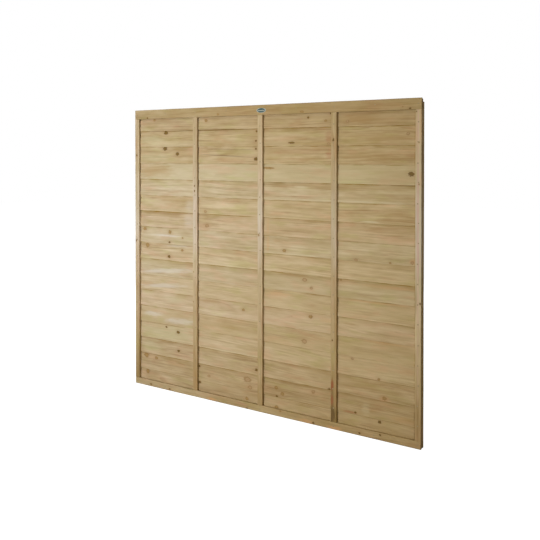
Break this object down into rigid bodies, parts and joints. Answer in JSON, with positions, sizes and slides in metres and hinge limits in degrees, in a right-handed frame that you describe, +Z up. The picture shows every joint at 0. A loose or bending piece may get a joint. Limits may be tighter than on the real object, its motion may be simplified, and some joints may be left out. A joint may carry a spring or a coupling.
{
  "type": "lap fence panel",
  "caption": "Softwood lap fence panel: thin horizontal boards, each lapping over the one below, held between a front and a back frame of battens.",
  "frame": {"origin": "on the ground line, at the middle of the width and of the depth", "axes": "+X along the panel to the right as seen from the front, -Y out of the front, +Z up"},
  "size_m": [1.83, 0.0394, 1.68],
  "materials": {
    "boards": "rough-sawn pressure-treated softwood",
    "frame": "rough-sawn pressure-treated softwood",
    "nails": "galvanised"
  },
  "bodies": {
    "root": {"board_01": "boards", "board_02": "boards", "board_03": "boards", "board_04": "boards", "board_05": "boards", "board_06": "boards", "board_07": "boards", "board_08": "boards", "board_09": "boards", "board_10": "boards", "board_11": "boards", "board_12": "boards", "board_13": "boards", "board_14": "boards", "board_15": "boards", "board_16": "boards", "board_17": "boards", "front_bottom_rail": "frame", "front_top_rail": "frame", "back_bottom_rail": "frame", "back_top_rail": "frame", "front_left_stile": "frame", "front_batten_1": "frame", "front_batten_2": "frame", "front_batten_3": "frame", "front_right_stile": "frame", "back_left_stile": "frame", "back_batten_1": "frame", "back_batten_2": "frame", "back_batten_3": "frame", "back_right_stile": "frame", "lap_nails": "nails"}
  },
  "joints": []
}
